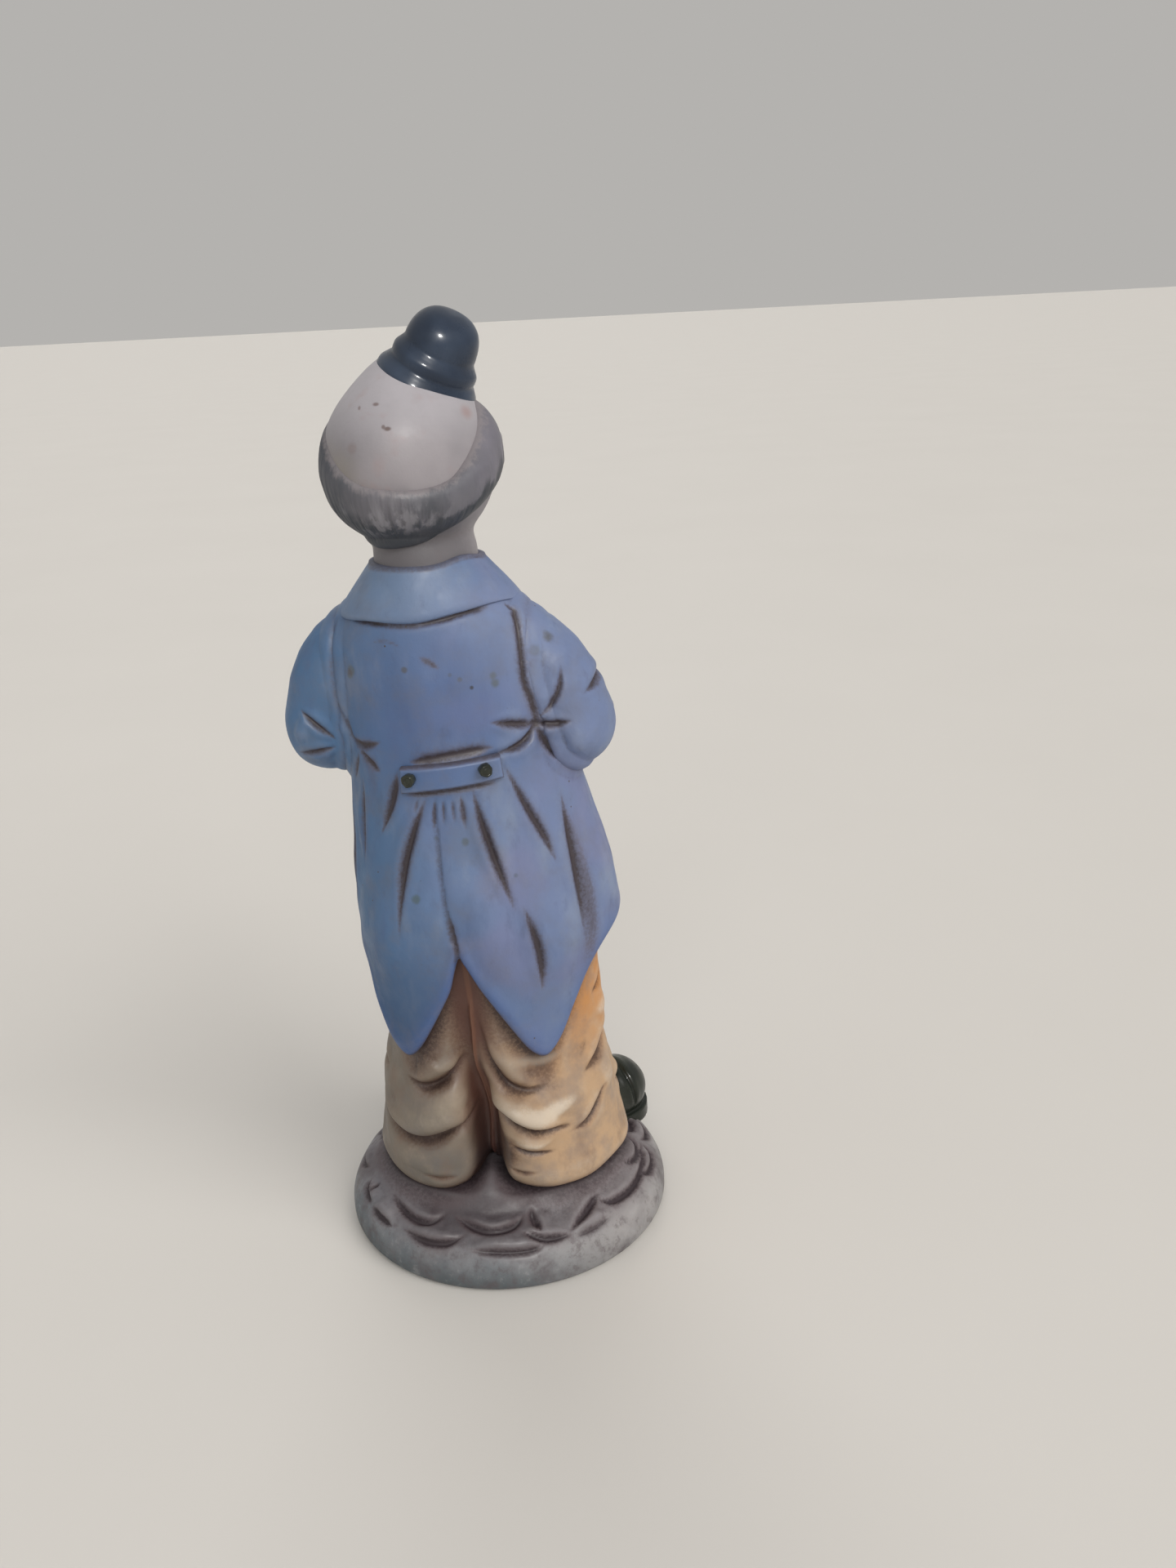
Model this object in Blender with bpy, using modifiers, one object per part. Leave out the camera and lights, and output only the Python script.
"""Souvenir figurine: a standing figure in a tailcoat and a small bell hat, on an oval mound.

Slip-cast bisque pottery. Each piece that is cast or pressed by itself and luted on is one
object: the mound, the trousers, the shoes, the coat, its collar, half belt, sleeves and
front, the hands, the head with its fringe of hair, and the hat.
Metres, +Z up. The figure faces -Y and the origin is the middle of the base's underside.
Sections are given by an angle round the body: 0 is the middle of the back (+Y), and
+90 is the figure's left (+X).
"""
import math

import bmesh
import bpy
from mathutils import Matrix, Vector

MM = 0.001
GAP = 0.3 * MM                      # luting gap between neighbouring pieces
SIDES = 40                          # points round the body sections
LIMB_SIDES = 16                     # points round sleeves, hands and shoes
HEAD_SIDES = 32

# Base: an oval mound, hollow, with a pour hole underneath and a drain under each leg.
BASE_WIDTH = 67.6 * MM
BASE_DEPTH = 60.8 * MM
BASE_HEIGHT = 11 * MM
BASE_WALL = 3 * MM
POUR_HOLE_RADIUS = 6 * MM
LEG_DRAIN_RADIUS = 2.5 * MM
BASE_PROFILE = ((0, 0.97), (0.1, 1), (0.36, 0.995), (0.64, 0.95), (0.82, 0.87), (0.94, 0.74), (1, 0.5))

# Heights that stack up from the base.
LEG_LENGTH = 34 * MM                # top of the base to the tips of the coat tails
SKIRT_LENGTH = 53 * MM              # tips of the tails to the waist
TORSO_LENGTH = 41 * MM              # waist to the neck seat
NECK_LENGTH = 5 * MM                # neck seat to the jaw
HEAD_HEIGHT = 29.5 * MM             # jaw to the top of the skull

# Trousers.
TROUSER_SINK = 3 * MM               # how far the legs reach down beside the mound's top
TROUSER_CUFF_WIDTH = 52.5 * MM
TROUSER_CUFF_DEPTH = 38.5 * MM
TROUSER_KNEE_WIDTH = 48 * MM
TROUSER_KNEE_DEPTH = 38 * MM
TROUSER_WALL = 3 * MM
GROOVE_DEPTH = 0.42                 # how far the web lies in, as a share of the leg's depth
GROOVE_ANGLE = 8
SIDE_BULGE = 2 * MM                 # how far the trousers puff out beside the tails

# Coat.
COAT_SKIRT_WIDTH = 47.6 * MM
COAT_HIP_WIDTH = 50.8 * MM
COAT_WAIST_WIDTH = 43.4 * MM
COAT_CHEST_WIDTH = 39 * MM
COAT_NECK_WIDTH = 18.4 * MM
COAT_HIP_DEPTH = 40.4 * MM
COAT_WAIST_DEPTH = 34 * MM
COAT_CHEST_DEPTH = 29 * MM
COAT_NECK_DEPTH = 17.4 * MM
SKIRT_WALL = 2.2 * MM
COAT_WALL = 3.2 * MM
NECK_HOLE_RADIUS = 5.4 * MM
SEAM_SHIFT = 3.6 * MM               # the back seam stands to the figure's left of its middle
TAIL_SPLIT = 23 * MM                # tips of the tails to the top of the split
TAIL_ANGLE = 36                     # angle of each tail's tip from the split
SPLIT_ANGLE = -3
FRONT_HEM = 21 * MM                 # the front hem above the tips of the tails
SIDE_HEM = 16 * MM

# Collar, half belt, shirt front, lapels and buttons.
COLLAR_DROP = 10 * MM
COLLAR_THICKNESS = 1.2 * MM
COLLAR_OPENING = 26                 # half the angle left open in front
BELT_WIDTH = 4.6 * MM
BELT_THICKNESS = 1.3 * MM
BELT_HEIGHT = 6.2 * MM              # the middle of the half belt above the waist
BELT_START = -31
BELT_END = 16
BELT_RISE = 1.7 * MM
BUTTON_RADIUS = 1.5 * MM
BUTTON_THICKNESS = 1 * MM
BUTTON_DROP = 4 * MM                # below the shirt front to the first coat button
BUTTON_PITCH = 6.5 * MM
SHIRT_THICKNESS = 0.8 * MM
SHIRT_HEIGHT = 33 * MM
SHIRT_LOW_ANGLE = 5                 # half the angle it covers at its foot and at its top
SHIRT_HIGH_ANGLE = 24
LAPEL_THICKNESS = 1.4 * MM
LAPEL_GAP = 2.4                     # angle between the shirt front and each lapel
LAPEL_START = 4
LAPEL_ANGLE = 11
BOW_WIDTH = 15 * MM
BOW_HEIGHT = 6.5 * MM
BOW_THICKNESS = 3.4 * MM

# Sleeves and hands.
SLEEVE_RADIUS = 7.2 * MM
CUFF_RADIUS = 5.4 * MM
ARM_MIDDLE = 3.2 * MM               # midway between the elbows
SHOULDER_MIDDLE = 4.4 * MM          # midway between the shoulders
ELBOW_OFFSET = 22.8 * MM            # the elbow's centre from there
ELBOW_DROP = 31.8 * MM              # the elbow's centre below the neck seat
HAND_RADIUS = 4.1 * MM
HAND_GAP = 1 * MM                   # between the fingertips

# Shoes.
SHOE_LENGTH = 24 * MM
SHOE_WIDTH = 15 * MM
SHOE_HEIGHT = 13.4 * MM
SHOE_SINK = 4 * MM                  # how far the soles reach down beside the mound's top
LEFT_SHOE = (16 * MM, -16 * MM, math.radians(6))       # middle x, y and turn of each shoe
RIGHT_SHOE = (-19 * MM, -14 * MM, math.radians(-38))

# Head, hair and hat.
HEAD_WIDTH = 29.2 * MM
HEAD_DEPTH = 31 * MM
HEAD_LEAN = 6 * MM                  # the jaw's middle from the axis of the base
SKULL_SHIFT = -0.6 * MM             # the crown of the head from the jaw's middle
HEAD_WALL = 3 * MM
NECK_RADIUS = 8.4 * MM
NOSE_RADIUS = 2 * MM
EAR_RADIUS = 2.2 * MM
HAIR_THICKNESS = 1.9 * MM
HAIR_MIDDLE = 3.4 * MM              # the middle of the fringe above the jaw, at the back
HAIR_HEIGHT = 9.5 * MM              # at the middle of the back
HAIR_SIDE_HEIGHT = 14 * MM
HAIR_SIDE_RISE = 8.5 * MM
HAIR_LEFT_FADE = 0.85               # how much thinner the fringe is at its ends
HAIR_RIGHT_FADE = 0.35
HAIR_ANGLE = 85                     # how far the fringe reaches round each side
HAT_BRIM_RADIUS = 9.2 * MM
HAT_CROWN_RADIUS = 6.2 * MM
HAT_HEIGHT = 13.2 * MM
HAT_SIDE_TILT = math.radians(-27)
HAT_BACK_TILT = math.radians(-9)
HAT_SEAT = 6.1 * MM                 # the middle of the brim below the top of the skull
HAT_SHIFT = -3.6 * MM               # the middle of the brim from the crown of the head

TAIL_Z = BASE_HEIGHT + LEG_LENGTH
WAIST_Z = TAIL_Z + SKIRT_LENGTH
NECK_Z = WAIST_Z + TORSO_LENGTH
JAW_Z = NECK_Z + NECK_LENGTH
CROWN_Z = JAW_Z + HEAD_HEIGHT
HIP_Z = TAIL_Z + SKIRT_LENGTH / 2
BUST_Z = WAIST_Z + TORSO_LENGTH * 0.62
SHOULDER_Z = NECK_Z - COLLAR_DROP + 1 * MM
TROUSER_TOP_Z = HIP_Z + 2 * MM

# Body sections: height, seam x, sideways skew, middle y, half width, half depth.
COAT_SECTIONS = (
    (TAIL_Z - 3 * MM, 2.2 * MM, 2.2 * MM, 0, COAT_SKIRT_WIDTH / 2 - 0.6 * MM, COAT_HIP_DEPTH / 2),
    (TAIL_Z + 13 * MM, 2.6 * MM, 2.8 * MM, 0, COAT_SKIRT_WIDTH / 2 + 0.4 * MM, COAT_HIP_DEPTH / 2),
    (HIP_Z, 3.2 * MM, 4.4 * MM, 0, COAT_HIP_WIDTH / 2, COAT_HIP_DEPTH / 2),
    (WAIST_Z, SEAM_SHIFT, 2.6 * MM, 0, COAT_WAIST_WIDTH / 2, COAT_WAIST_DEPTH / 2),
    (BUST_Z, 4 * MM, 0, 0.5 * MM, COAT_CHEST_WIDTH / 2, COAT_CHEST_DEPTH / 2),
    (SHOULDER_Z, 4 * MM, 0, 1 * MM, COAT_CHEST_WIDTH / 2 - 3 * MM, COAT_CHEST_DEPTH / 2 - 1.7 * MM),
    (NECK_Z, 4.4 * MM, 0, 1.2 * MM, COAT_NECK_WIDTH / 2, COAT_NECK_DEPTH / 2),
)
TROUSER_SECTIONS = (
    (BASE_HEIGHT - TROUSER_SINK, 0.5 * MM, 0.5 * MM, 0,
     TROUSER_CUFF_WIDTH / 2 - 1.6 * MM, TROUSER_CUFF_DEPTH / 2 - 1.5 * MM),
    (BASE_HEIGHT + 5 * MM, 0.5 * MM, 0.5 * MM, 0, TROUSER_CUFF_WIDTH / 2, TROUSER_CUFF_DEPTH / 2),
    (TAIL_Z - 14 * MM, 0.5 * MM, 0.5 * MM, 0, TROUSER_KNEE_WIDTH / 2, TROUSER_KNEE_DEPTH / 2),
)
SHOE_SECTIONS = ((0, 0.62, 0.6), (0.12, 0.8, 0.86), (0.35, 0.82, 0.95), (0.6, 0.94, 1),
                 (0.8, 1, 0.95), (0.93, 0.82, 0.7), (1, 0.4, 0.35))
BOW_PROFILE = ((0.12, 0.3), (0.22, 0.28), (0.4, 0.55), (0.75, 1), (1, 0.92))
HEAD_PROFILE = ((0, 0.7), (0.07, 0.81), (0.18, 0.93), (0.33, 1), (0.47, 0.985), (0.58, 0.93),
                (0.68, 0.82), (0.78, 0.655), (0.88, 0.44), (0.95, 0.25), (1, 0.07))
HAT_PROFILE = ((1, 0.12), (0.985, 0.3), (0.94, 0.6), (0.86, 0.85), (0.76, 0.98), (0.62, 1),
               (0.5, 0.955), (0.4, 1))


def clear_scene():
    for item in list(bpy.data.objects):
        bpy.data.objects.remove(item)


def make_collection(name):
    collection = bpy.data.collections.new(name)
    bpy.context.scene.collection.children.link(collection)
    return collection


clear_scene()
PARTS = make_collection("souvenir_figurine")
CUTTERS = make_collection("cutters")


def make_material(name, colour, roughness, coat=0.0):
    material = bpy.data.materials.new(name)
    material.use_nodes = True
    shader = material.node_tree.nodes["Principled BSDF"]
    shader.inputs["Base Color"].default_value = (*colour, 1)
    shader.inputs["Roughness"].default_value = roughness
    shader.inputs["Metallic"].default_value = 0
    shader.inputs["Coat Weight"].default_value = coat
    return material


BLUE_BISQUE = make_material("blue_bisque", (0.15, 0.21, 0.38), 0.6)
TAN_BISQUE = make_material("tan_bisque", (0.5, 0.35, 0.2), 0.6)
STONE_BISQUE = make_material("stone_bisque", (0.36, 0.34, 0.34), 0.65)
SKIN_BISQUE = make_material("skin_bisque", (0.5, 0.4, 0.38), 0.6)
HAIR_BISQUE = make_material("hair_bisque", (0.12, 0.12, 0.14), 0.6)
WHITE_BISQUE = make_material("white_bisque", (0.7, 0.68, 0.62), 0.6)
RED_BISQUE = make_material("red_bisque", (0.4, 0.08, 0.07), 0.6)
NAVY_GLAZE = make_material("navy_glaze", (0.03, 0.045, 0.08), 0.15, 0.6)
DARK_GLAZE = make_material("dark_glaze", (0.04, 0.045, 0.03), 0.25, 0.4)


def add_object(name, mesh, material=None):
    """Link a mesh as a named part, or as a hidden cutter when it has no material."""
    item = bpy.data.objects.new(name, mesh)
    (PARTS if material else CUTTERS).objects.link(item)
    if material:
        mesh.materials.append(material)
        mesh.shade_smooth()
        mesh.set_sharp_from_angle(angle=math.radians(40))
    else:
        item.hide_render = True
        item.display_type = "WIRE"
    return item


def add_shape(name, shape, material):
    """Turn an edit mesh into a named object, with its faces facing out."""
    bmesh.ops.recalc_face_normals(shape, faces=shape.faces)
    mesh = bpy.data.meshes.new(name)
    shape.to_mesh(mesh)
    shape.free()
    return add_object(name, mesh, material)


def join_rings(shape, rings, closed=False):
    """Faces between each ring and the next, and from the last to the first if closed."""
    rows = [[shape.verts.new(point) for point in ring] for ring in rings]
    count = len(rows[0])
    following = rows[1:] + rows[:1] if closed else rows[1:]
    for low, high in zip(rows, following):
        for i in range(count):
            j = (i + 1) % count
            shape.faces.new((low[i], low[j], high[j], high[i]))
    return rows


def loft(name, rings, material=None):
    """A closed body through rings of equal count, with a flat cap at each end."""
    shape = bmesh.new()
    rows = join_rings(shape, rings)
    shape.faces.new(list(reversed(rows[0])))
    shape.faces.new(rows[-1])
    return add_shape(name, shape, material)


def ring_shell(name, outside, inside, material):
    """A closed wall between outside and inside rings that both run bottom to top."""
    shape = bmesh.new()
    join_rings(shape, outside + inside[::-1], closed=True)
    return add_shape(name, shape, material)


def slab(name, inner, outer, material):
    """A closed slab between two grids of points with the same rows and columns."""
    shape = bmesh.new()
    low = [[shape.verts.new(point) for point in row] for row in inner]
    high = [[shape.verts.new(point) for point in row] for row in outer]
    rows, columns = len(inner), len(inner[0])
    for i in range(rows - 1):
        for j in range(columns - 1):
            shape.faces.new((low[i][j], low[i + 1][j], low[i + 1][j + 1], low[i][j + 1]))
            shape.faces.new((high[i][j], high[i][j + 1], high[i + 1][j + 1], high[i + 1][j]))
    rim = [(0, j) for j in range(columns)]
    rim += [(i, columns - 1) for i in range(1, rows)]
    rim += [(rows - 1, j) for j in range(columns - 2, -1, -1)]
    rim += [(i, 0) for i in range(rows - 2, 0, -1)]
    for (a, b), (c, d) in zip(rim, rim[1:] + rim[:1]):
        shape.faces.new((low[a][b], low[c][d], high[c][d], high[a][b]))
    return add_shape(name, shape, material)


def cylinder(name, radius, depth, matrix, material=None):
    shape = bmesh.new()
    bmesh.ops.create_cone(shape, cap_ends=True, segments=14, radius1=radius,
                          radius2=radius, depth=depth, matrix=matrix)
    return add_shape(name, shape, material)


def ellipsoid(name, radii, centre):
    shape = bmesh.new()
    bmesh.ops.create_uvsphere(shape, u_segments=14, v_segments=8, radius=1)
    bmesh.ops.scale(shape, vec=radii, verts=shape.verts)
    bmesh.ops.translate(shape, vec=centre, verts=shape.verts)
    return add_shape(name, shape, None)


def boolean(item, tool, operation="DIFFERENCE", solver="EXACT"):
    change = item.modifiers.new(f"{operation.lower()}_{tool.name}", "BOOLEAN")
    change.operation = operation
    change.solver = solver
    change.object = tool


def between(table, where):
    """Values of a table of rows at a height, on a smooth curve through the rows."""
    heights = [row[0] for row in table]
    where = min(max(where, heights[0]), heights[-1])
    k = max(i for i in range(len(table) - 1) if heights[i] <= where)
    span = heights[k + 1] - heights[k]
    t = (where - heights[k]) / span
    before, after = max(k - 1, 0), min(k + 2, len(table) - 1)
    values = []
    for column in range(1, len(table[0])):
        start, end = table[k][column], table[k + 1][column]
        slope0 = (end - table[before][column]) / (heights[k + 1] - heights[before]) * span
        slope1 = (table[after][column] - start) / (heights[after] - heights[k]) * span
        curve = (2 * t**3 - 3 * t**2 + 1) * start + (t**3 - 2 * t**2 + t) * slope0
        values.append(curve + (3 * t**2 - 2 * t**3) * end + (t**3 - t**2) * slope1)
    return values


def mix(a, b, share):
    return a + (b - a) * share


def oval(section, angle, height, grow):
    """A point on a body section, with the seam at angle 0."""
    seam, skew, middle, half_width, half_depth = section
    a = math.radians(angle)
    x = seam + (half_width + grow) * math.sin(a) - skew * math.sin(a) ** 2
    return Vector((x, middle + (half_depth + grow) * math.cos(a), height))


def angles(count=SIDES, crowd=0.0):
    """Angles round a section, crowded towards the middle of the back and of the front."""
    even = [360 * i / count for i in range(count)]
    return [a - crowd * math.degrees(math.sin(math.radians(2 * a))) / 2 for a in even]


def signed(angle):
    return (angle + 180) % 360 - 180


def coat_point(angle, height, grow=0.0):
    return oval(between(COAT_SECTIONS, height), angle, height, grow)


def hem_height(angle):
    """The coat's lower edge: two pointed tails behind, and a plain hem in front."""
    a = abs(signed(angle - SPLIT_ANGLE))
    curve = ((0, TAIL_SPLIT), (10, TAIL_SPLIT * 0.55), (20, TAIL_SPLIT * 0.25), (30, 1.5 * MM),
             (TAIL_ANGLE, 0), (TAIL_ANGLE + 8, 2 * MM), (TAIL_ANGLE + 18, 8 * MM),
             (70, SIDE_HEM - 2 * MM), (90, SIDE_HEM), (140, FRONT_HEM - 3 * MM), (180, FRONT_HEM))
    return TAIL_Z + between(curve, a)[0]


def coat_rings(skirt_wall, wall, heights):
    """Rings from the hem up; the lower rows follow the hem."""
    rings = []
    for share in (0, 0.3, 0.65, 1):
        ring = []
        for a in angles():
            height = mix(hem_height(a), TROUSER_TOP_Z + GAP, share)
            ring.append(coat_point(a, height, -skirt_wall))
        rings.append(ring)
    for height in heights:
        rings.append([coat_point(a, height, -wall) for a in angles()])
    return rings


def round_point(x, y, radius, angle, height):
    a = math.radians(angle)
    return Vector((x + radius * math.sin(a), y + radius * math.cos(a), height))


def neck_ring(radius, height, count=SIDES):
    """A level ring round the middle of the neck."""
    seam, _, middle, _, _ = between(COAT_SECTIONS, NECK_Z)
    return [round_point(seam, middle, radius, a, height) for a in angles(count)]


def build_coat():
    outer = [mix(TROUSER_TOP_Z, NECK_Z, share) for share in
             (0.12, 0.25, 0.38, 0.5, 0.62, 0.72, 0.8, 0.86, 0.91, 0.96, 1)]
    inner = [mix(TROUSER_TOP_Z, NECK_Z - 3 * COAT_WALL / 2, share) for share in
             (0.1, 0.3, 0.5, 0.75, 0.9, 1)]
    outside = coat_rings(0, 0, outer)
    inside = coat_rings(SKIRT_WALL, COAT_WALL, inner)
    inside.append(neck_ring(NECK_HOLE_RADIUS, NECK_Z))
    ring_shell("coat", outside, inside, BLUE_BISQUE)


def grown_coat(name, grow):
    """The coat's outer form as a solid cutter, a clearance larger."""
    heights = [mix(TAIL_Z, NECK_Z, i / 24) for i in range(25)]
    return loft(name, [[coat_point(a, z, grow) for a in angles()] for z in heights])


def base_ring(share, scale, grow=0.0):
    z = BASE_HEIGHT * share
    return [Vector(((BASE_WIDTH / 2 * scale + grow) * math.sin(math.radians(a)),
                    (BASE_DEPTH / 2 * scale + grow) * math.cos(math.radians(a)), z))
            for a in angles()]


def build_base(drains):
    """The mound, hollow, from its top round the outside, up the pour hole and inside."""
    outside = [base_ring(share, scale) for share, scale in reversed(BASE_PROFILE)]
    hole = [[round_point(0, 0, POUR_HOLE_RADIUS, a, z) for a in angles()] for z in (0, BASE_WALL)]
    floor = BASE_WALL / BASE_HEIGHT
    roof = 1 - floor
    cavity = [base_ring(share, scale, -BASE_WALL) for share, scale in
              ((floor, 0.97), (mix(floor, roof, 0.6), 0.93), (roof, 0.75))]
    base = loft("base", outside + hole + cavity, STONE_BISQUE)
    for drain in drains:
        boolean(base, drain)


def grown_base(name, grow):
    rings = [base_ring(share, scale, grow) for share, scale in BASE_PROFILE]
    for ring in rings[1:]:
        for point in ring:
            point.z += grow
    return loft(name, rings)


def leg_drains():
    """A cutter up the middle of each leg, through the mound's top and the leg's foot."""
    _, seam, skew, _, _, _ = TROUSER_SECTIONS[0]
    half = TROUSER_CUFF_WIDTH / 4
    depth = 2 * (BASE_WALL + TROUSER_WALL + TROUSER_SINK)
    return [cylinder(f"drain_{side}", LEG_DRAIN_RADIUS, depth,
                     Matrix.Translation((seam + sign * half - skew, 0, BASE_HEIGHT)))
            for side, sign in (("left", 1), ("right", -1))]


def trouser_section(height):
    """Legs below the tails, and a plain waist that fits inside the coat above them."""
    seam, skew, middle, half_width, half_depth = between(COAT_SECTIONS, height)
    reach = SKIRT_WALL + 2 * GAP
    waist = (seam, skew, middle, half_width - reach, half_depth - reach)
    legs = between(TROUSER_SECTIONS, height)
    top = TAIL_Z - 2 * MM
    bottom = TROUSER_SECTIONS[-1][0]
    share = min(max((height - bottom) / (top - bottom), 0), 1)
    share = share * share * (3 - 2 * share)
    return [mix(a, b, share) for a, b in zip(legs, waist)]


def trouser_point(angle, height, grow=0.0):
    """A point on the legs, with the side bulge by the tails and the groove between the legs."""
    section = trouser_section(height)
    point = oval(section, angle, height, grow)
    across = math.sin(math.radians(angle))
    puff = math.exp(-(((height - TAIL_Z - 1 * MM) / (8 * MM)) ** 2)) * across ** 6
    point.x += math.copysign(SIDE_BULGE * puff, across)
    crotch = TAIL_Z + TAIL_SPLIT * 0.6
    fade = min(max((crotch - height) / (10 * MM), 0), 1)
    from_middle = abs(signed(angle))
    from_middle = min(from_middle, 180 - from_middle)
    groove = GROOVE_DEPTH * fade * math.exp(-((from_middle / GROOVE_ANGLE) ** 4))
    middle = section[2]
    point.y = middle + (point.y - middle) * (1 - groove)
    return point


def trouser_rings(bottom, top, rows, grow=0.0):
    return [[trouser_point(a, mix(bottom, top, i / rows), grow) for a in angles(44, 0.6)]
            for i in range(rows + 1)]


def build_trousers(drains):
    bottom = BASE_HEIGHT - TROUSER_SINK
    outside = trouser_rings(bottom, TROUSER_TOP_Z, 13)
    floor = BASE_HEIGHT + TROUSER_WALL
    inside = trouser_rings(floor, TROUSER_TOP_Z, 7, -TROUSER_WALL)
    trousers = loft("trousers", outside + list(reversed(inside)), TAN_BISQUE)
    boolean(trousers, grown_base("base_seat", GAP))
    for drain in drains:
        boolean(trousers, drain)


def sweep_rings(path, sizes):
    """Rings square to a path of points; sizes holds each ring's half width and half height."""
    rings = []
    over = Vector((0, 0, 1))
    for i, point in enumerate(path):
        along = (path[min(i + 1, len(path) - 1)] - path[max(i - 1, 0)]).normalized()
        over = (over - along * over.dot(along)).normalized()
        side = along.cross(over)
        wide, high = sizes[i]
        turns = [2 * math.pi * k / LIMB_SIDES for k in range(LIMB_SIDES)]
        rings.append([point + side * wide * math.cos(a) + over * high * math.sin(a) for a in turns])
    return rings


def upper_arm_rings(sign):
    """Level rings from the elbow up to the shoulder, round at both ends."""
    middle = between(COAT_SECTIONS, BUST_Z)[2]
    elbow = NECK_Z - ELBOW_DROP
    top = SHOULDER_Z + 0.5 * MM
    low = COAT_CHEST_WIDTH / 2 - 3.6 * MM
    rings = []
    for share, out, radius in ((-0.3, 0.9, 0.5), (-0.25, 0.96, 0.76), (-0.14, 1, 0.94), (0, 1, 1),
                               (0.2, 0.96, 1), (0.45, 0.75, 0.98), (0.7, 0.4, 0.94),
                               (0.88, 0.12, 0.8), (1, 0, 0.56)):
        x = mix(SHOULDER_MIDDLE, ARM_MIDDLE, out) + sign * mix(low, ELBOW_OFFSET, out)
        z = mix(elbow, top, share)
        rings.append([round_point(x, middle + 1 * MM, SLEEVE_RADIUS * radius, a, z)
                      for a in angles(LIMB_SIDES)])
    return rings


def forearm_path(sign):
    """From inside the elbow round the side of the body to the wrist in front."""
    middle = between(COAT_SECTIONS, BUST_Z)[2]
    elbow = NECK_Z - ELBOW_DROP
    front = between(COAT_SECTIONS, elbow)[4]
    points = ((0, -0.1), (0.7 * MM, 0.35), (3.4 * MM, 0.68), (8 * MM, 0.98), (13 * MM, 1.17))
    return [Vector((ARM_MIDDLE + sign * (ELBOW_OFFSET - inward), middle - front * forward,
                    elbow + inward * 0.08)) for inward, forward in points]


def build_sleeve(side, sign, cutters):
    sleeve = loft(f"{side}_sleeve", upper_arm_rings(sign), BLUE_BISQUE)
    radii = [mix(SLEEVE_RADIUS, CUFF_RADIUS, share) for share in (0.08, 0.2, 0.5, 0.8, 1)]
    rings = sweep_rings(forearm_path(sign), [(r, r) for r in radii])
    boolean(sleeve, loft(f"{side}_forearm_form", rings), "UNION")
    for cutter in cutters:
        boolean(sleeve, cutter, solver="MANIFOLD")


def build_hand(side, sign, cutters):
    """A relaxed closed hand, from the cuff to the middle of the belly."""
    path = forearm_path(sign)
    along = (path[-1] - path[-2]).normalized()
    wrist = path[-1] + along * GAP
    palm = wrist + along * 1.5 * MM
    last = Vector((ARM_MIDDLE + sign * HAND_GAP / 2, palm.y - 0.6 * MM, palm.z + 0.6 * MM))
    points = [wrist] + [palm.lerp(last, share) for share in (0, 0.3, 0.6, 0.85, 1)]
    thick = [HAND_RADIUS * share for share in (0.8, 0.9, 1, 0.95, 0.7, 0.35)]
    sizes = [(t * 0.8, t) for t in thick]
    hand = loft(f"{side}_hand", sweep_rings(points, sizes), SKIN_BISQUE)
    for cutter in cutters:
        boolean(hand, cutter)


def build_shoe(side, place, cutters):
    """A round-toed shoe, heel under the trouser leg and toe to the front."""
    x, y, turn = place
    centre = Vector((x, y, BASE_HEIGHT - SHOE_SINK))
    forward = Matrix.Rotation(turn, 4, "Z") @ Vector((0, -1, 0))
    across = Vector((0, 0, 1)).cross(forward)
    rings = []
    for share, width, height in SHOE_SECTIONS:
        half_height = SHOE_HEIGHT * height / 2
        middle = centre + forward * SHOE_LENGTH * (share - 0.5) + Vector((0, 0, half_height))
        side_step = across * SHOE_WIDTH / 2 * width
        up_step = Vector((0, 0, half_height))
        turns = [2 * math.pi * k / LIMB_SIDES for k in range(LIMB_SIDES)]
        rings.append([middle + side_step * math.cos(a) + up_step * math.sin(a) for a in turns])
    shoe = loft(f"{side}_shoe", rings, DARK_GLAZE)
    for cutter in cutters:
        boolean(shoe, cutter)


def patch(point, left, right, heights, columns, inner, outer):
    """Two grids on a surface: left and right give the edge angles at each height."""
    grids = []
    for offset in (inner, outer):
        grid = []
        for z in heights:
            grid.append([point(mix(left(z), right(z), j / (columns - 1)), z, offset)
                         for j in range(columns)])
        grids.append(grid)
    return grids


def build_collar():
    """A broad collar that lies on the shoulders and is open in front."""
    low, high = NECK_Z - COLLAR_DROP, NECK_Z - 0.2 * MM
    heights = [mix(low, high, i / 5) for i in range(6)]
    start = 180 - COLLAR_OPENING
    inner, outer = patch(coat_point, lambda z: -start, lambda z: start, heights, 30,
                         1.8 * GAP, 1.8 * GAP + COLLAR_THICKNESS)
    slab("collar", inner, outer, BLUE_BISQUE)


def grown_collar():
    """A solid over the shoulders, a clearance outside the collar, that trims the sleeves."""
    grow = 3.6 * GAP + COLLAR_THICKNESS
    low = NECK_Z - COLLAR_DROP - 1.5 * GAP
    heights = [mix(low, NECK_Z, i / 5) for i in range(6)]
    return loft("collar_seat", [[coat_point(a, z, grow) for a in angles()] for z in heights])


def belt_point(angle, row, grow):
    """A point of the half belt: row runs from -1, its lower edge, to 1."""
    share = (angle - BELT_START) / (BELT_END - BELT_START)
    z = WAIST_Z + BELT_HEIGHT + BELT_RISE * (0.5 - share) + BELT_WIDTH / 2 * row
    return coat_point(angle, z, grow)


def build_half_belt():
    grids = patch(belt_point, lambda z: BELT_START, lambda z: BELT_END, (-1, 0, 1), 9,
                  1.4 * GAP, 1.4 * GAP + BELT_THICKNESS)
    slab("half_belt", *grids, BLUE_BISQUE)
    for name, share in (("belt_button_right", 0.16), ("belt_button_left", 0.86)):
        angle = mix(BELT_START, BELT_END, share)
        surface_button(name, belt_point(angle, 0, 2.6 * GAP + BELT_THICKNESS), angle)


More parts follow.
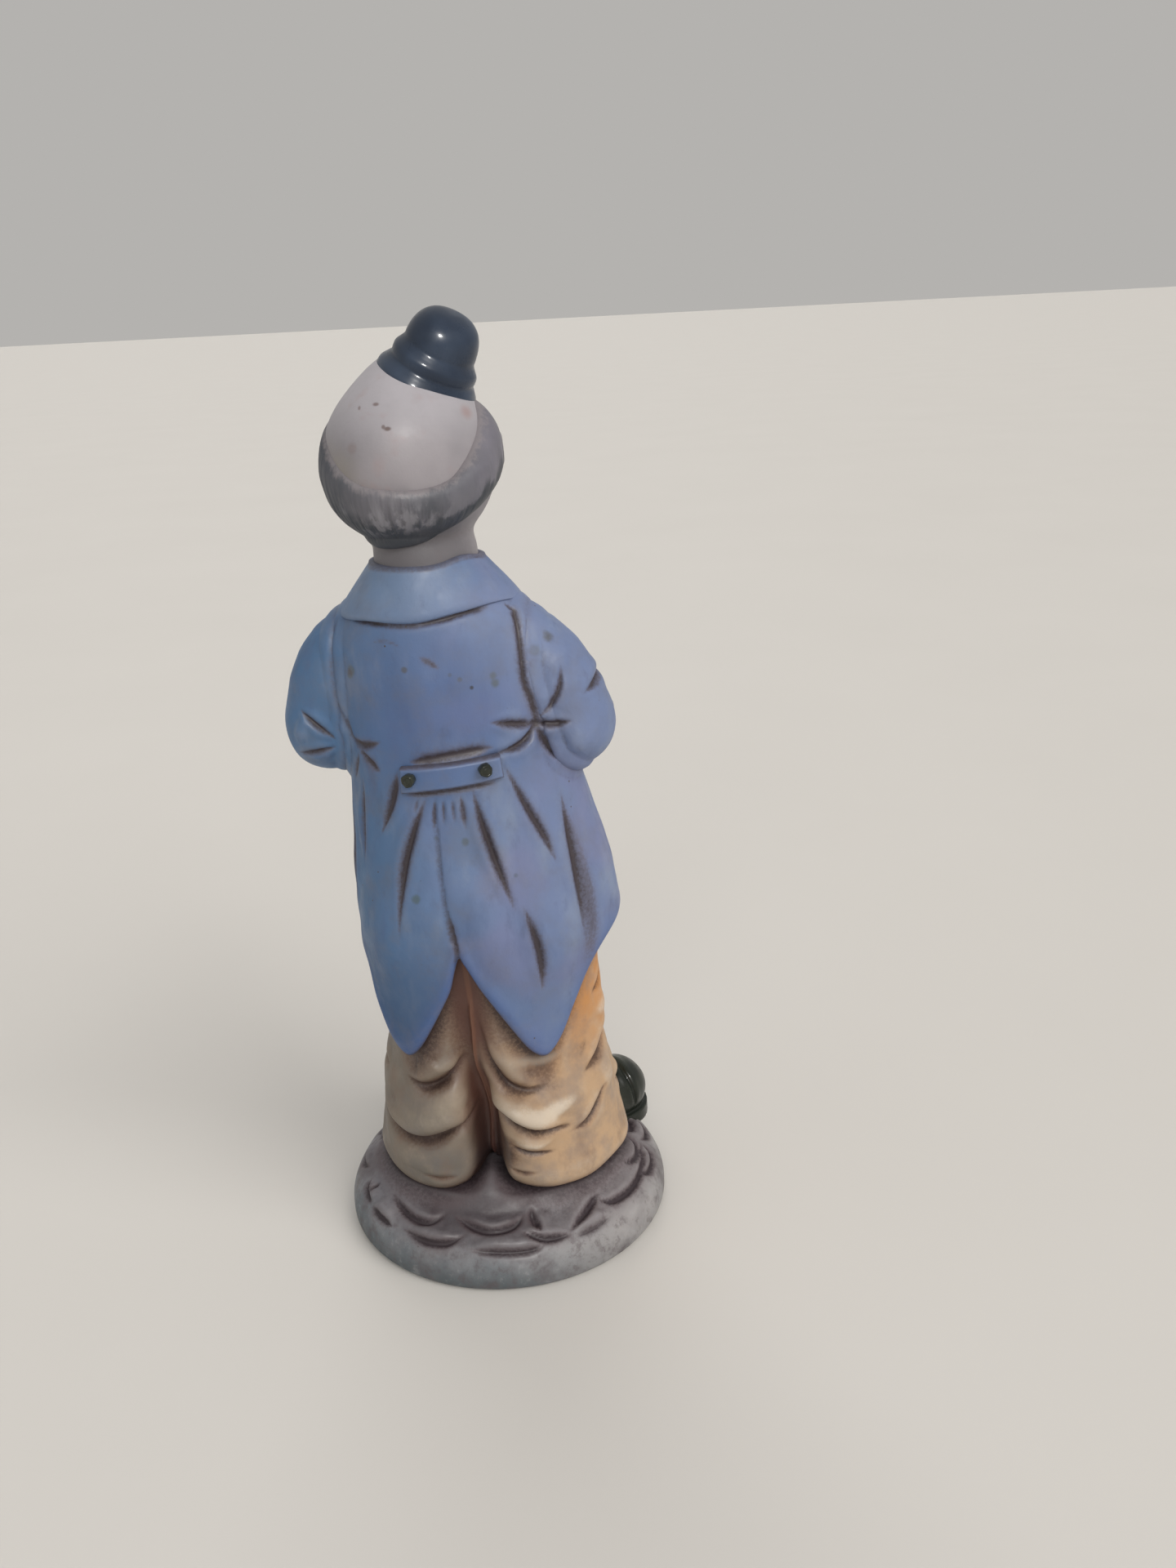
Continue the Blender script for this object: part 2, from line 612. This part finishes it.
def surface_button(name, point, angle):
    """A flat button whose back stands a gap off the surface at a point."""
    a = math.radians(angle)
    out = Vector((math.sin(a), math.cos(a), 0))
    turn = Vector((0, 0, 1)).rotation_difference(out).to_matrix().to_4x4()
    place = Matrix.Translation(point + out * BUTTON_THICKNESS / 2) @ turn
    cylinder(name, BUTTON_RADIUS, BUTTON_THICKNESS, place, DARK_GLAZE)


def shirt_edge(height):
    """Half the angle the shirt front covers at a height."""
    low = NECK_Z - 3 * MM - SHIRT_HEIGHT
    return mix(SHIRT_LOW_ANGLE, SHIRT_HIGH_ANGLE, min(max((height - low) / SHIRT_HEIGHT, 0), 1))


def build_front():
    """Shirt front, the lapels beside it, and three buttons below."""
    low, high = NECK_Z - 3 * MM - SHIRT_HEIGHT, NECK_Z - 3 * MM
    heights = [mix(low, high, i / 9) for i in range(10)]
    grids = patch(coat_point, lambda z: 180 - shirt_edge(z), lambda z: 180 + shirt_edge(z),
                  heights, 9, 1.6 * GAP, 1.6 * GAP + SHIRT_THICKNESS)
    slab("shirt_front", *grids, WHITE_BISQUE)
    top = NECK_Z - COLLAR_DROP - 2 * GAP
    heights = [mix(low + 5 * MM, top, i / 7) for i in range(8)]
    for side, sign in (("left", -1), ("right", 1)):
        def inner_edge(z, sign=sign):
            return 180 + sign * (shirt_edge(z) + LAPEL_GAP)

        def outer_edge(z, sign=sign):
            share = (z - heights[0]) / (heights[-1] - heights[0])
            return 180 + sign * (shirt_edge(z) + LAPEL_START + LAPEL_ANGLE * share)

        grids = patch(coat_point, inner_edge, outer_edge, heights, 4, 1.6 * GAP,
                      1.6 * GAP + LAPEL_THICKNESS)
        slab(f"{side}_lapel", *grids, BLUE_BISQUE)
    for i in range(3):
        z = low - BUTTON_DROP - BUTTON_PITCH * i
        surface_button(f"coat_button_{i + 1}", coat_point(180, z, 2 * GAP), 180)


def build_bow_tie(cutters):
    """Two loops and a narrow knot between them, in front of the neck."""
    seam, _, middle, _, half_depth = between(COAT_SECTIONS, NECK_Z)
    front = middle - half_depth - BOW_THICKNESS
    rings = []
    for share, height in [(-s, h) for s, h in reversed(BOW_PROFILE)] + list(BOW_PROFILE):
        ring = []
        for k in range(12):
            a = 2 * math.pi * k / 12
            y = front + BOW_THICKNESS / 2 * math.cos(a) * (0.6 + 0.4 * height)
            z = NECK_Z - 2 * MM + BOW_HEIGHT / 2 * height * math.sin(a)
            ring.append(Vector((seam + BOW_WIDTH / 2 * share, y, z)))
        rings.append(ring)
    bow = loft("bow_tie", rings, RED_BISQUE)
    for cutter in cutters:
        boolean(bow, cutter)


def head_ring(share, scale, grow=0.0, lift=0.0):
    """A ring of the skull; the head leans as it rises."""
    x = HEAD_LEAN + SKULL_SHIFT * share
    z = JAW_Z + HEAD_HEIGHT * share + lift
    return [Vector((x + (HEAD_WIDTH / 2 * scale + grow) * math.sin(math.radians(a)),
                    (HEAD_DEPTH / 2 * scale + grow) * math.cos(math.radians(a)), z))
            for a in angles(HEAD_SIDES)]


def build_head():
    """The skull on its neck, hollow, with a nose and two ears."""
    outside = [head_ring(share, scale) for share, scale in reversed(HEAD_PROFILE)]
    neck = [neck_ring(radius, height, HEAD_SIDES) for radius, height in
            ((NECK_RADIUS, JAW_Z - 2.2 * MM), (NECK_RADIUS, NECK_Z + GAP),
             (NECK_HOLE_RADIUS, NECK_Z + GAP), (NECK_HOLE_RADIUS, JAW_Z))]
    cavity = [head_ring(share, scale, -HEAD_WALL) for share, scale in
              ((0.2, 0.9), (0.42, 0.97), (0.65, 0.8), (0.8, 0.58))]
    head = loft("head", outside + neck + cavity, SKIN_BISQUE)
    face_z = JAW_Z + HEAD_HEIGHT * 0.42
    x = HEAD_LEAN + SKULL_SHIFT * 0.42
    nose = ellipsoid("nose_form", (NOSE_RADIUS, NOSE_RADIUS * 1.2, NOSE_RADIUS * 1.1),
                     Vector((x, -HEAD_DEPTH / 2 + 0.3 * MM, face_z - 2 * MM)))
    boolean(head, nose, "UNION")
    for side, sign in (("left", 1), ("right", -1)):
        ear = ellipsoid(f"{side}_ear_form", (EAR_RADIUS * 0.55, EAR_RADIUS * 0.8, EAR_RADIUS * 1.4),
                        Vector((x + sign * HEAD_WIDTH / 2 * 0.97, -3.4 * MM, face_z - 1 * MM)))
        boolean(head, ear, "UNION")


def head_point(angle, height, grow):
    share = (height - JAW_Z) / HEAD_HEIGHT
    scale = between(HEAD_PROFILE, share)[0]
    a = math.radians(angle)
    return Vector((HEAD_LEAN + SKULL_SHIFT * share + (HEAD_WIDTH / 2 * scale + grow) * math.sin(a),
                   (HEAD_DEPTH / 2 * scale + grow) * math.cos(a), height))


def hair_point(share, across, inside):
    """A point of the fringe: share from ear to ear, across from -1 at its lower edge to 1."""
    angle = mix(-HAIR_ANGLE, HAIR_ANGLE, share)
    side = (angle / HAIR_ANGLE) ** 2
    middle = JAW_Z + HAIR_MIDDLE + HAIR_SIDE_RISE * side
    z = middle + mix(HAIR_HEIGHT, HAIR_SIDE_HEIGHT, side) / 2 * across
    if inside:
        return head_point(angle, z, 2 * GAP)
    fade = HAIR_LEFT_FADE if angle > 0 else HAIR_RIGHT_FADE
    roll = math.sqrt(max(1 - across ** 2, 0)) * (1 - fade * side)
    return head_point(angle, z, 3 * GAP + HAIR_THICKNESS * roll)


def build_hair():
    """A rolled fringe round the back of the head, thin at its ends and edges."""
    shares = [j / 22 for j in range(23)]
    rows = [i / 3 - 1 for i in range(7)]
    inner = [[hair_point(share, across, inside=True) for share in shares] for across in rows]
    outer = [[hair_point(share, across, inside=False) for share in shares] for across in rows]
    slab("hair_fringe", inner, outer, HAIR_BISQUE)


def build_hat(cutters):
    """A bell hat: a turned profile, tilted to the side and back, hollowed by the skull."""
    crown = [(HAT_CROWN_RADIUS * scale, share) for share, scale in HAT_PROFILE]
    brim = [(mix(HAT_CROWN_RADIUS, HAT_BRIM_RADIUS, 0.55), 0.22), (HAT_BRIM_RADIUS, 0.05),
            (HAT_BRIM_RADIUS, -0.03), (HAT_BRIM_RADIUS - 1 * MM, -0.06)]
    turned = [(0, 1)] + crown + brim + [(0, -0.06)]
    points = [(radius, 0, HAT_HEIGHT * share) for radius, share in turned]
    mesh = bpy.data.meshes.new("hat")
    mesh.from_pydata(points, [(i, i + 1) for i in range(len(points) - 1)], [])
    hat = add_object("hat", mesh, NAVY_GLAZE)
    turn = hat.modifiers.new("turned", "SCREW")
    turn.steps = 28
    turn.render_steps = 28
    turn.use_merge_vertices = True
    turn.merge_threshold = 0.00001
    hat.location = (HEAD_LEAN + SKULL_SHIFT + HAT_SHIFT, 0.3 * MM, CROWN_Z - HAT_SEAT)
    hat.rotation_euler = (HAT_BACK_TILT, HAT_SIDE_TILT, 0)
    for cutter in cutters:
        boolean(hat, cutter)


def grown_head():
    rings = [head_ring(share, scale, GAP, GAP) for share, scale in HEAD_PROFILE]
    return loft("head_seat", rings)


def grown_trousers():
    rings = trouser_rings(BASE_HEIGHT - TROUSER_SINK - 2 * GAP, TROUSER_TOP_Z, 13, 1.4 * GAP)
    return loft("trousers_seat", rings)


def main():
    drains = leg_drains()
    build_base(drains)
    build_trousers(drains)
    trousers_seat = grown_trousers()
    build_coat()
    build_collar()
    coat_seat = grown_coat("coat_seat", 1.5 * GAP)
    collar_seat = grown_collar()
    lapel_seat = grown_coat("lapel_seat", 3 * GAP + LAPEL_THICKNESS)
    base_seat = grown_base("shoe_seat", GAP)
    build_half_belt()
    build_front()
    for side, sign in (("left", 1), ("right", -1)):
        build_sleeve(side, sign, (coat_seat, collar_seat))
        build_hand(side, sign, (lapel_seat,))
    for side, place in (("left", LEFT_SHOE), ("right", RIGHT_SHOE)):
        build_shoe(side, place, (base_seat, trousers_seat))
    build_bow_tie((lapel_seat,))
    build_head()
    build_hair()
    build_hat((grown_head(),))


main()
